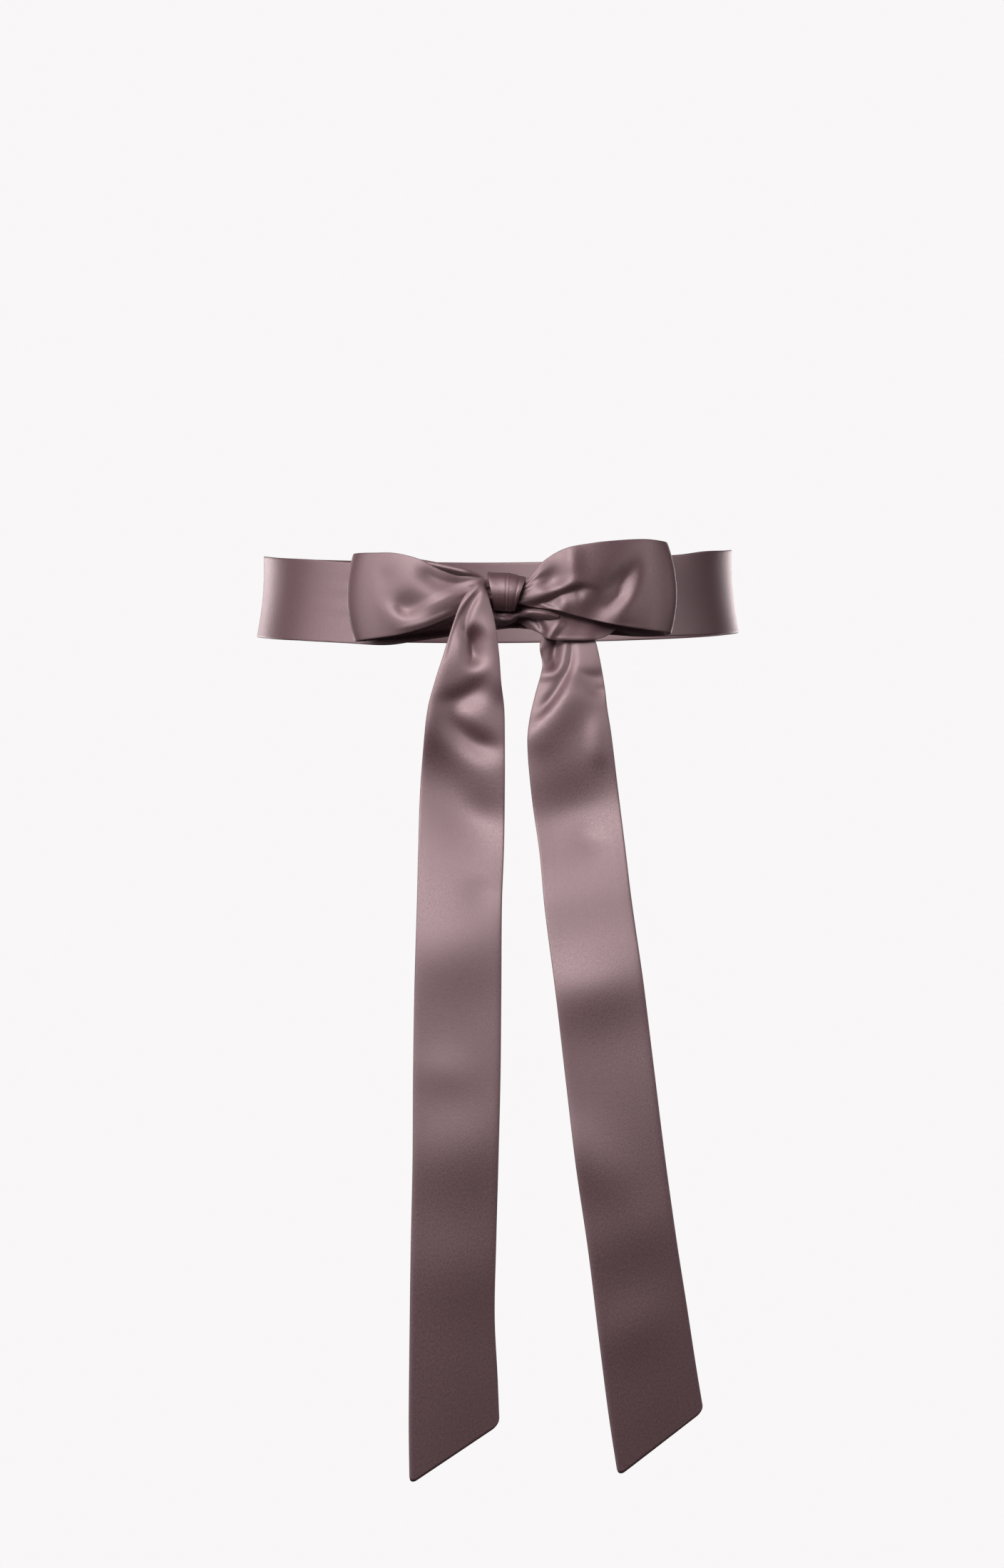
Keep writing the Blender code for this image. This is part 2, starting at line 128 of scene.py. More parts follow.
# First edge on top, from the near layer's root in the knot, round the outer fold, and back
LOOP_LEFT = (
    Section(0.0030, -0.1248, -0.0012, 0.0030, -0.1252, -0.0150, 0.0000, 0.0000),
    Section(-0.0068, -0.1262, -0.0008, -0.0068, -0.1260, -0.0125, 0.0008, 0.0000),
    Section(-0.0170, -0.1285, 0.0006, -0.0170, -0.1275, -0.0165, 0.0015, 0.0000),
    Section(-0.0262, -0.1295, 0.0012, -0.0262, -0.1275, -0.0232, 0.0022, 0.0000),
    Section(-0.0380, -0.1300, 0.0056, -0.0360, -0.1268, -0.0278, 0.0028, 0.0000),
    Section(-0.0489, -0.1290, 0.0114, -0.0465, -0.1252, -0.0318, 0.0032, 0.0000),
    Section(-0.0647, -0.1240, 0.0159, -0.0624, -0.1210, -0.0358, 0.0034, 0.0000),
    Section(-0.0790, -0.1170, 0.0168, -0.0775, -0.1145, -0.0376, 0.0024, -0.0010),
    Section(-0.0882, -0.1100, 0.0172, -0.0872, -0.1080, -0.0384, 0.0010, -0.0028),
    Section(-0.0918, -0.1030, 0.0172, -0.0909, -0.1020, -0.0386, 0.0000, -0.0044),
    Section(-0.0882, -0.0978, 0.0170, -0.0878, -0.0970, -0.0384, 0.0000, -0.0030),
    Section(-0.0780, -0.0982, 0.0164, -0.0775, -0.0978, -0.0374, 0.0000, 0.0000),
    Section(-0.0600, -0.1045, 0.0148, -0.0600, -0.1040, -0.0352, 0.0000, 0.0000),
    Section(-0.0443, -0.1088, 0.0122, -0.0443, -0.1078, -0.0322, 0.0000, 0.0000),
    Section(-0.0262, -0.1128, 0.0077, -0.0262, -0.1115, -0.0250, 0.0000, 0.0000),
    Section(-0.0150, -0.1145, 0.0044, -0.0150, -0.1135, -0.0185, 0.0000, 0.0000),
    Section(-0.0060, -0.1160, 0.0003, -0.0060, -0.1160, -0.0150, 0.0000, 0.0000),
    Section(0.0030, -0.1165, -0.0004, 0.0030, -0.1165, -0.0150, 0.0000, 0.0000),
)

LOOP_RIGHT = (
    Section(0.0056, -0.1262, -0.0030, 0.0056, -0.1262, -0.0160, 0.0000, 0.0000),
    Section(0.0172, -0.1264, -0.0030, 0.0125, -0.1256, -0.0162, 0.0006, 0.0000),
    Section(0.0280, -0.1290, 0.0095, 0.0235, -0.1262, -0.0186, 0.0020, 0.0000),
    Section(0.0416, -0.1310, 0.0177, 0.0360, -0.1270, -0.0206, 0.0028, 0.0000),
    Section(0.0597, -0.1310, 0.0217, 0.0560, -0.1270, -0.0257, 0.0035, 0.0000),
    Section(0.0780, -0.1265, 0.0240, 0.0776, -0.1235, -0.0304, 0.0036, 0.0000),
    Section(0.0935, -0.1190, 0.0253, 0.0950, -0.1165, -0.0324, 0.0026, 0.0010),
    Section(0.1035, -0.1110, 0.0250, 0.1060, -0.1085, -0.0332, 0.0010, 0.0028),
    Section(0.1077, -0.1040, 0.0245, 0.1103, -0.1020, -0.0336, 0.0000, 0.0048),
    Section(0.1040, -0.0980, 0.0243, 0.1065, -0.0965, -0.0345, 0.0000, 0.0030),
    Section(0.0910, -0.0985, 0.0250, 0.0920, -0.0970, -0.0350, 0.0000, 0.0000),
    Section(0.0720, -0.1055, 0.0236, 0.0730, -0.1055, -0.0312, 0.0000, 0.0000),
    Section(0.0560, -0.1095, 0.0208, 0.0550, -0.1100, -0.0252, 0.0000, 0.0000),
    Section(0.0400, -0.1120, 0.0158, 0.0380, -0.1120, -0.0212, 0.0000, 0.0000),
    Section(0.0280, -0.1140, 0.0085, 0.0250, -0.1125, -0.0190, 0.0000, 0.0000),
    Section(0.0180, -0.1160, -0.0030, 0.0140, -0.1155, -0.0156, 0.0000, 0.0000),
    Section(0.0056, -0.1165, -0.0026, 0.0056, -0.1165, -0.0156, 0.0000, 0.0000),
)

# First edge on top, from behind the left tail, under the knot, and out to the right as a roll
KNOT_UNDER = (
    Section(-0.0070, -0.1150, -0.0208, -0.0070, -0.1115, -0.0262, 0.0020, 0.0000),
    Section(-0.0010, -0.1182, -0.0220, -0.0010, -0.1125, -0.0284, 0.0042, 0.0000),
    Section(0.0045, -0.1196, -0.0221, 0.0045, -0.1130, -0.0292, 0.0052, 0.0000),
    Section(0.0095, -0.1190, -0.0219, 0.0095, -0.1140, -0.0276, 0.0036, 0.0000),
    Section(0.0135, -0.1186, -0.0216, 0.0135, -0.1170, -0.0246, 0.0024, 0.0000),
    Section(0.0185, -0.1215, -0.0200, 0.0185, -0.1200, -0.0246, 0.0044, 0.0000),
    Section(0.0250, -0.1224, -0.0198, 0.0250, -0.1208, -0.0258, 0.0050, 0.0000),
    Section(0.0320, -0.1230, -0.0212, 0.0320, -0.1222, -0.0260, 0.0040, 0.0000),
    Section(0.0385, -0.1236, -0.0236, 0.0385, -0.1236, -0.0252, 0.0010, 0.0000),
)

# First edge on top, from behind the knot to the right, where the right tail folds down
FLAP_RIGHT = (
    Section(0.0128, -0.1086, -0.0205, 0.0128, -0.1082, -0.0268, 0.0000, 0.0000),
    Section(0.0190, -0.1120, -0.0198, 0.0190, -0.1122, -0.0308, 0.0008, 0.0000),
    Section(0.0262, -0.1168, -0.0196, 0.0262, -0.1178, -0.0345, 0.0014, 0.0000),
    Section(0.0335, -0.1186, -0.0202, 0.0325, -0.1222, -0.0388, 0.0020, 0.0000),
    Section(0.0470, -0.1186, -0.0226, 0.0465, -0.1232, -0.0396, 0.0024, 0.0000),
    Section(0.0600, -0.1180, -0.0252, 0.0600, -0.1222, -0.0393, 0.0020, 0.0000),
    Section(0.0690, -0.1148, -0.0262, 0.0690, -0.1176, -0.0364, 0.0010, 0.0000),
    Section(0.0765, -0.1110, -0.0265, 0.0765, -0.1116, -0.0306, 0.0000, 0.0000),
)

# First edge on the left, from the root in the knot down to the slanted end
TAIL_LEFT = (
    Section(0.0010, -0.1272, -0.0012, 0.0010, -0.1285, -0.0058, 0.0000, 0.0000),
    Section(-0.0085, -0.1290, -0.0014, -0.0074, -0.1293, -0.0065, 0.0006, 0.0000),
    Section(-0.0140, -0.1328, -0.0045, -0.0068, -0.1320, -0.0100, 0.0016, 0.0000),
    Section(-0.0217, -0.1342, -0.0134, -0.0050, -0.1335, -0.0165, 0.0024, 0.0000),
    Section(-0.0271, -0.1335, -0.0265, -0.0020, -0.1330, -0.0280, 0.0030, 0.0000),
    Section(-0.0343, -0.1340, -0.0496, 0.0009, -0.1332, -0.0496, 0.0030, 0.0000),
    Section(-0.0398, -0.1346, -0.0670, 0.0022, -0.1338, -0.0670, 0.0026, 0.0000),
    Section(-0.0440, -0.1354, -0.0830, 0.0041, -0.1346, -0.0830, 0.0022, 0.0000),
    Section(-0.0463, -0.1366, -0.1010, 0.0045, -0.1358, -0.1010, 0.0018, 0.0000),
    Section(-0.0490, -0.1395, -0.1359, 0.0045, -0.1386, -0.1359, 0.0012, 0.0000),
    Section(-0.0500, -0.1445, -0.1720, 0.0040, -0.1432, -0.1720, 0.0008, 0.0000),
    Section(-0.0507, -0.1520, -0.2080, 0.0027, -0.1503, -0.2080, 0.0006, 0.0000),
    Section(-0.0521, -0.1600, -0.2618, 0.0023, -0.1590, -0.2618, 0.0006, 0.0000),
    Section(-0.0528, -0.1650, -0.3150, 0.0018, -0.1655, -0.3150, 0.0008, 0.0000),
    Section(-0.0530, -0.1675, -0.3680, 0.0005, -0.1690, -0.3680, 0.0010, 0.0000),
    Section(-0.0541, -0.1675, -0.4214, -0.0008, -0.1690, -0.4160, 0.0008, 0.0000),
    Section(-0.0549, -0.1665, -0.4830, -0.0018, -0.1675, -0.4640, 0.0006, 0.0000),
    Section(-0.0553, -0.1655, -0.5320, 0.0000, -0.1665, -0.5020, 0.0006, 0.0000),
    Section(-0.0548, -0.1650, -0.5690, 0.0012, -0.1655, -0.5315, 0.0004, 0.0000),
)

TAIL_RIGHT = (
    Section(0.0310, -0.1170, -0.0290, 0.0585, -0.1165, -0.0285, 0.0000, 0.0000),
    Section(0.0288, -0.1177, -0.0350, 0.0605, -0.1178, -0.0345, 0.0004, 0.0000),
    Section(0.0266, -0.1195, -0.0428, 0.0628, -0.1195, -0.0420, 0.0010, 0.0000),
    Section(0.0282, -0.1215, -0.0560, 0.0655, -0.1215, -0.0550, 0.0020, 0.0000),
    Section(0.0240, -0.1235, -0.0730, 0.0680, -0.1232, -0.0700, 0.0024, 0.0000),
    Section(0.0203, -0.1255, -0.0890, 0.0694, -0.1250, -0.0830, 0.0020, 0.0000),
    Section(0.0187, -0.1275, -0.1050, 0.0717, -0.1270, -0.0980, 0.0014, 0.0000),
    Section(0.0213, -0.1325, -0.1380, 0.0757, -0.1310, -0.1310, 0.0010, 0.0000),
    Section(0.0262, -0.1410, -0.1740, 0.0800, -0.1385, -0.1680, 0.0008, 0.0000),
    Section(0.0294, -0.1500, -0.2100, 0.0840, -0.1475, -0.2040, 0.0006, 0.0000),
    Section(0.0362, -0.1590, -0.2640, 0.0912, -0.1580, -0.2575, 0.0006, 0.0000),
    Section(0.0424, -0.1645, -0.3180, 0.0976, -0.1650, -0.3110, 0.0008, 0.0000),
    Section(0.0486, -0.1670, -0.3710, 0.1040, -0.1685, -0.3640, 0.0010, 0.0000),
    Section(0.0563, -0.1672, -0.4240, 0.1110, -0.1685, -0.4150, 0.0008, 0.0000),
    Section(0.0630, -0.1665, -0.4790, 0.1180, -0.1675, -0.4600, 0.0006, 0.0000),
    Section(0.0690, -0.1655, -0.5260, 0.1235, -0.1662, -0.4960, 0.0006, 0.0000),
    Section(0.0748, -0.1645, -0.5640, 0.1280, -0.1650, -0.5230, 0.0004, 0.0000),
)

# Creases, in millimetres seen from behind
LOOP_LEFT_CREASES = (
    Crease(((-96, -9), (-82, -14), (-70, -22.5), (-57, -28), (-42, -26)), 5.5, 2.4, 1.8),
    Crease(((-84, -0.5), (-78, 0), (-71, -1.5)), 7.5, -3.4, 1.7),
    Crease(((-66, -16), (-57, -20), (-47, -18)), 9.0, -3.2, 0.9),
    Crease(((-58, -26), (-43, -18.5), (-30, -12.2), (-17, -6.2), (-4, -2)), 3.4, 1.4, 3.6),
    Crease(((-52, 5), (-36, -3), (-22, -5.6), (-10, -6.5)), 4.6, -2.3, 1.6),
    Crease(((-89, 16), (-90.5, 0), (-89, -18)), 2.6, -0.8),
    Crease(((-66, -32.5), (-48, -29), (-26, -20)), 1.6, 0.4),
)

LOOP_LEFT_FAR_CREASES = (
    Crease(((-56, 12), (-44, 10), (-26, 5.8), (-10, 1.6)), 2.4, 3.2),
    Crease(((-50, 4), (-30, -1), (-12, -4)), 4.0, -2.6),
)

LOOP_RIGHT_CREASES = (
    Crease(((11, -16), (26, -12.8), (35, -9.3), (44, -5.8), (55, -3.0)), 4.8, 1.9, 0.4),
    Crease(((10, -20), (26, -16.8), (35, -13.4), (44, -9.8), (52, -7), (64, -9)), 2.3, -2.2, 2.4),
    Crease(((32, 5), (36.5, -2), (37, -7)), 6.5, -3.2, 1.4),
    Crease(((14, -9), (24, -8), (32, -10)), 3.2, 0.8),
    Crease(((45.5, 22), (47, 10), (47.5, -3)), 6.5, 1.6, 0.8),
    Crease(((41.5, -10), (41.5, -23)), 4.4, 1.2, 0.8),
    Crease(((62, -34), (77, -25), (90, -12), (98, 6)), 8.0, 1.8, 1.3),
    Crease(((54, -28), (67, -13.6), (79.7, -2.2), (93, 9)), 8.0, -2.8, 1.4),
    Crease(((68, -12), (80, -2), (90, 8), (97, 16)), 7.0, -2.2, 1.5),
    Crease(((68, -18.5), (75, -13.5), (83, -8)), 3.6, -0.9, 1.3),
    Crease(((25, -16), (41, -22.5)), 1.6, 0.8, 0.5),
    Crease(((40, -22.2), (58, -27.2), (75, -30.2), (106, -32)), 1.3, 0.35),
)

LOOP_RIGHT_FAR_CREASES = (
    Crease(((16, -6), (34, 2), (58, 8), (84, 10)), 7.0, 2.0, 1.6),
    Crease(((18, -18), (44, -21), (74, -17)), 6.0, 1.5, 1.4),
    Crease(((60, -6), (76, -10), (92, -6)), 8.0, 1.2),
)

KNOT_UNDER_CREASES = (
    Crease(((-1, -24.5), (5, -26.8), (10, -25)), 1.6, 1.5),
    Crease(((-3, -22.5), (5, -24.2), (11, -22.6)), 1.3, -1.6),
    Crease(((15, -21.4), (26, -21.4), (36, -23.4)), 1.2, 0.6),
)

FLAP_RIGHT_CREASES = (
    Crease(((42, -26), (37, -31), (33, -37), (30, -43)), 2.6, 1.6, 1.5),
    Crease(((8, -21.5), (13, -22), (18, -22.5)), 2.6, 0.5),
    Crease(((12, -22), (20, -28), (28, -36)), 2.4, 1.1),
    Crease(((20, -20), (26.5, -27.5), (31, -36)), 2.4, -1.3),
    Crease(((33, -38), (50, -38.8), (66, -38)), 1.4, 0.5),
    Crease(((46, -28), (58, -30), (72, -31)), 5.0, -1.2, 1.5),
)

TAIL_LEFT_CREASES = (
    Crease(((-10, -3), (-21.6, -17), (-26, -25), (-29.7, -35), (-34, -52)), 1.4, 0.7),
    Crease(((-10, -7), (-17.5, -20), (-20.5, -30), (-22, -42)), 2.2, -1.9, 2.2),
    Crease(((-15, -57), (-16, -46), (-17, -33)), 4.6, -5.6, 1.5),
    Crease(((-37, -82), (-20, -76), (-6, -66)), 6.6, -2.8, 1.4),
    Crease(((-35, -84), (-24, -98), (-13, -106), (2, -111)), 7.6, -3.2, 1.2),
    Crease(((-38, -106), (-32, -128), (-20, -151), (-8, -158), (5, -150)), 18.0, -5.8, 1.4),
    Crease(((-33, -36), (-41, -75), (-44, -112)), 11.0, 3.6, 0.5),
    Crease(((-3, -20), (0, -45), (4, -80)), 5.0, 2.8, 2.4),
    Crease(((-56, -240), (-25, -234), (7, -226)), 30.0, 3.4),
    Crease(((-19, -197), (0, -203)), 8.0, -0.8, 1.6),
    Crease(((-56, -366), (-25, -362), (7, -352)), 26.0, 1.8),
    Crease(((-50, -310), (-15, -316)), 14.0, 0.8),
    Crease(((-54, -430), (6, -440)), 28.0, 1.0),
)

TAIL_RIGHT_CREASES = (
    Crease(((36, -58), (35.5, -50), (37, -40), (38.5, -34)), 5.5, -5.6, 0.8),
    Crease(((43, -32), (43, -48), (39, -57.5), (32, -61.5), (23, -62)), 3.2, 1.3),
    Crease(((45.6, -34), (45.6, -54), (40, -68.5), (33, -79), (23, -90)), 3.0, -2.4, 1.4),
    Crease(((24, -50), (28, -43), (35, -37)), 2.0, 0.9),
    Crease(((48, -60), (58, -64), (70, -62)), 5.0, -1.7, 1.7),
    Crease(((57, -71), (63, -72), (70, -71)), 3.6, -1.1, 1.5),
    Crease(((16, -110), (30, -93), (43, -77), (52, -58)), 9.0, 3.2, 1.6),
    Crease(((10, -164), (41, -154), (80, -138)), 25.0, -6.0, 1.2),
    Crease(((62, -88), (64, -120)), 7.0, 1.3),
    Crease(((50, -161), (66, -169)), 7.0, -0.9, 1.6),
    Crease(((26, -266), (62, -258), (102, -250)), 24.0, 4.0),
    Crease(((34, -346), (56, -366), (78, -392)), 20.0, 2.4),
    Crease(((50, -422), (114, -402)), 22.0, 1.4),
    Crease(((64, -484), (106, -458)), 18.0, 1.0),
)


class SashSizes(bpy.types.PropertyGroup):
    """Sizes of the ribbon, in metres."""

    ribbon_width: bpy.props.FloatProperty(
        name="Ribbon width", description="Finished width of the sash",
        default=0.055, min=0.02, max=0.12, unit="LENGTH", subtype="DISTANCE")
    cloth_thickness: bpy.props.FloatProperty(
        name="Cloth thickness", description="Both layers and the pressed seam between them",
        default=0.0011, min=0.0004, max=0.003, unit="LENGTH", subtype="DISTANCE")
    edge_share: bpy.props.FloatProperty(
        name="Edge thickness", description="Share of the thickness left at the pressed edges",
        default=0.35, min=0.05, max=1.0, subtype="FACTOR")
    waist_half_width: bpy.props.FloatProperty(
        name="Waist half width", description="From the middle of the hollow to the band at a side",
        default=0.1560, min=0.1, max=0.25, unit="LENGTH", subtype="DISTANCE")
    waist_half_depth: bpy.props.FloatProperty(
        name="Waist half depth", description="From the middle of the hollow to the band in front",
        default=0.1070, min=0.06, max=0.2, unit="LENGTH", subtype="DISTANCE")
    corner_radius: bpy.props.FloatProperty(
        name="Tail corners", description="Radius of the turned corners at the tail ends",
        default=0.0045, min=0.0, max=0.01, unit="LENGTH", subtype="DISTANCE")
    tail_length: bpy.props.FloatProperty(
        name="Tail length", description="Length of a tail below the knot",
        default=0.56, min=0.2, max=1.0, unit="LENGTH", subtype="DISTANCE")
    crease_depth: bpy.props.FloatProperty(
        name="Crease depth", description="Share of the drawn depth that the creases take",
        default=1.35, min=0.0, max=2.0, subtype="FACTOR")


class SashColours(bpy.types.PropertyGroup):
    """Colours and finish of the satin."""

    satin: bpy.props.FloatVectorProperty(
        name="Satin", description="Body colour of the mauve satin",
        default=(0.092, 0.034, 0.041), size=3, min=0.0, max=1.0, subtype="COLOR")
    satin_shade: bpy.props.FloatVectorProperty(
        name="Satin in the weft", description="Deeper colour that shows between the floats",
        default=(0.060, 0.021, 0.025), size=3, min=0.0, max=1.0, subtype="COLOR")
    roughness: bpy.props.FloatProperty(
        name="Roughness", description="Softness of the satin's gloss",
        default=0.58, min=0.05, max=1.0, subtype="FACTOR")
    weave_pitch: bpy.props.FloatProperty(
        name="Weave pitch", description="Distance between the diagonal lines of the weave",
        default=0.0004, min=0.0002, max=0.004, unit="LENGTH", subtype="DISTANCE")
    weave_depth: bpy.props.FloatProperty(
        name="Weave depth", description="Strength of the weave's relief",
        default=0.15, min=0.0, max=1.0, subtype="FACTOR")


class SashStudio(bpy.types.PropertyGroup):
    """Ground, lights and camera distance."""

    ground: bpy.props.FloatVectorProperty(
        name="Ground", description="Colour of the floor and of what is behind the sash",
        default=(0.947, 0.930, 0.938), size=3, min=0.0, max=1.0, subtype="COLOR")
    key_power: bpy.props.FloatProperty(
        name="Key light", description="Power of the large soft light above the viewer",
        default=13.2, min=0.0, max=500.0, unit="POWER")
    side_power: bpy.props.FloatProperty(
        name="Side light", description="Power of the soft light from the left",
        default=26.0, min=0.0, max=500.0, unit="POWER")
    surround: bpy.props.FloatProperty(
        name="Surround", description="Brightness of the studio walls seen by the cloth",
        default=0.065, min=0.0, max=2.0)


def smoothstep(value):
    value = min(1.0, max(0.0, value))
    return value * value * (3 - 2 * value)


def curve_through(stations, rows, station):
    """The row of values at a station, on a smooth curve through the rows."""
    last = len(stations) - 1
    index = 0
    while index < last - 1 and station > stations[index + 1]:
        index += 1
    span = stations[index + 1] - stations[index]
    part = min(1.0, max(0.0, (station - stations[index]) / span))

    def slope(at, column):
        before, after = max(0, at - 1), min(last, at + 1)
        return (rows[after][column] - rows[before][column]) / (stations[after] - stations[before])

    values = []
    for column in range(len(rows[0])):
        start, end = rows[index][column], rows[index + 1][column]
        leave, arrive = slope(index, column) * span, slope(index + 1, column) * span
        values.append(
            start
            + part * leave
            + part**2 * (3 * (end - start) - 2 * leave - arrive)
            + part**3 * (leave + arrive - 2 * (end - start))
        )
    return values


def stations_of(sections):
    """Distances along the middle line of a stretch, from 0 to 1, and its whole length."""
    middles = [[(a + b) / 2 for a, b in zip(row[0:3], row[3:6])] for row in sections]
    distances = [0.0]
    for before, after in zip(middles, middles[1:]):
        distances.append(distances[-1] + math.dist(before, after))
    return [distance / distances[-1] for distance in distances], distances[-1]


def crease_dabs(creases):
    """Soft dabs laid close together along each crease: x, z, run, under share, reach, rise."""
    dabs = []
    for crease in creases:
        lengths = [0.0]
        for before, after in zip(crease.path, crease.path[1:]):
            lengths.append(lengths[-1] + math.dist(before, after))
        whole = lengths[-1]
        count = max(2, math.ceil(whole / (crease.reach * DAB_SPACING)))
        share = whole / count / (crease.reach * math.sqrt(math.pi))
        share /= math.erf(whole / 2 / crease.reach)
        strengths = [
            min(1.0, 1.6 * math.sin(math.pi * (step + 0.5) / count)) * share for step in range(count)
        ]
        places = [
            curve_through(lengths, crease.path, whole * (step + 0.5) / count)
            for step in range(count)
        ]
        for step, (x, z) in enumerate(places):
            before, after = places[max(0, step - 1)], places[min(count - 1, step + 1)]
            run_x, run_z = after[0] - before[0], after[1] - before[1]
            run = math.hypot(run_x, run_z)
            dabs.append(
                (x, z, run_x / run, run_z / run, crease.under, crease.reach,
                 crease.rise * strengths[step])
            )
    return np.array(dabs).reshape(-1, 7).T * np.array([MM, MM, 1, 1, 1, MM, MM])[:, None]


def crease_rise(dabs, x, z):
    """How far the dabs lift a place towards the viewer behind the wearer."""
    dab_x, dab_z, run_x, run_z, under, reach, rise = dabs
    off_x, off_z = x - dab_x, z - dab_z
    along = off_x * run_x + off_z * run_z
    aside = off_z * run_x - off_x * run_z
    aside = np.where(aside < 0, aside / under, aside)
    return float((rise * np.exp(-(along**2 + aside**2) / reach**2)).sum())


def free_stretch_place(sections, creases, near_until, depth, gathers, ripple, far_creases=()):
    """A function (u, v) -> place on a free stretch, with creases for its near and far layer."""
    stations, length = stations_of(sections)
    near_dabs, far_dabs = crease_dabs(creases), crease_dabs(far_creases)

    @functools.lru_cache(maxsize=8192)
    def row_at(u):
        return Section(*curve_through(stations, sections, u))

    def place(u, v):
        row = row_at(round(u, 7))
        bow = 4 * v * (1 - v)
        x = row.x_first + (row.x_second - row.x_first) * v + row.spread * bow
        y = row.y_first + (row.y_second - row.y_first) * v - row.swell * bow
        z = row.z_first + (row.z_second - row.z_first) * v
        nearness = 1 - smoothstep((u - near_until) / 0.10 + 1)
        lift = nearness * depth * crease_rise(near_dabs, x, z)
        if far_creases and u > 1 - near_until:
            farness = smoothstep((u - 1 + near_until) / 0.10)
            lift += farness * depth * crease_rise(far_dabs, x, z)
        for start, end, count, size, phase in gathers:
            span = smoothstep(1 - abs(u - start) / abs(end - start))
            wave = math.sin(2 * math.pi * (count * v + phase))
            lift += size * MM * span * wave * math.sin(math.pi * min(1, max(0, v))) ** 0.5
        lift += ripple * MM * (
            math.sin(7.3 * u + 2.1 * v + 0.4) + 0.6 * math.sin(17.0 * u - 4.0 * v + 1.3)
        ) * bow
        return x, y - lift, z

    return place, length


def band_place(sizes):
    """A function (u, v) -> place on the waist band, which starts and ends behind the knot."""
    stations = [section.angle for section in BAND_SECTIONS]

    @functools.lru_cache(maxsize=8192)
    def row_at(degrees):
        return BandSection(*curve_through(stations, BAND_SECTIONS, degrees))

    def place(u, v):
        degrees = 360 * u if u <= 0.5 else 360 * u - 360
        angle = math.radians(degrees)
        row = row_at(round(degrees, 6))
        side = math.sin(angle) ** 2
        lean = 0.0022 * (2 * v - 1) - 0.0016 * 4 * v * (1 - v)
        out = side * lean + row.gather * (math.sin(6 * math.pi * v + 0.6) - 0.5)
        near_knot = smoothstep(1 - abs(degrees) / 62)
        creases = math.sin(2 * math.pi * (4.2 * v + 0.004 * degrees)) * near_knot**1.5
        out += 0.0007 * creases * math.sin(math.pi * v)
        slack = math.sin(3 * angle + 0.7) + 0.7 * math.sin(5 * angle - 1.1 + 2.2 * v)
        out += 0.00045 * slack * 4 * v * (1 - v)
        x = (sizes.waist_half_width + out) * math.sin(angle)
        y = -(sizes.waist_half_depth + out) * math.cos(angle)
        return x, y, row.top + (row.low - row.top) * v

    return place, 2 * math.pi * math.sqrt((0.156**2 + 0.107**2) / 2)


def knot_wrap_place(u, v):
    """A place on the turn over the middle: u goes round the X axis, v from left to right."""
    turn = 2 * math.pi * u
    height = (1 + math.sin(turn)) / 2
    left = -0.0023 + (-0.0068 + 0.0023) * height
    right = 0.0108 + (0.0181 - 0.0108) * height
    across = v + 0.035 * math.sin(turn + 0.5) * math.sin(math.pi * v)
    bulge = 0.0009 * 4 * v * (1 - v)
    near = smoothstep(0.5 + 0.9 * math.cos(turn))
    folded_edge = math.exp(-(((across - 0.585) / 0.020) ** 2)) - 0.9 * math.exp(
        -(((across - 0.535) / 0.030) ** 2)
    )
    margin = math.exp(-(((across - 0.86) / 0.035) ** 2))
    bulge += near * (0.00038 * folded_edge - 0.00055 * margin)
    bulge += near * 0.00030 * math.sin(9 * across + 2.0 * height + 0.6)
    centre_z = -0.0078 + (-0.0098 + 0.0078) * v
    half_height = 0.0113 + (0.0103 - 0.0113) * v
    x = left + (right - left) * v
    y = -0.1213 - (0.0117 + bulge) * math.cos(turn)
    z = centre_z + (half_height + bulge) * math.sin(turn)
    return x, y, z


def corner_cut(v, sizes):
    """The share of a tail's length that its rounded corners take off near each edge."""
    share = 2 * sizes.corner_radius / sizes.ribbon_width
    past = max(0.0, (abs(2 * v - 1) - (1 - share)) / share)
    return sizes.corner_radius / sizes.tail_length * (1 - math.sqrt(max(0.0, 1 - past**2)))


def edge_dense(even, amount=0.6):
    """Places across the ribbon, closer together towards its edges."""
    return (1 - amount) * even + amount / 2 * (1 - math.cos(math.pi * even))


def deselect_all():
    if bpy.context.object and bpy.context.object.mode != "OBJECT":
        bpy.ops.object.mode_set(mode="OBJECT")
    bpy.ops.object.select_all(action="DESELECT")


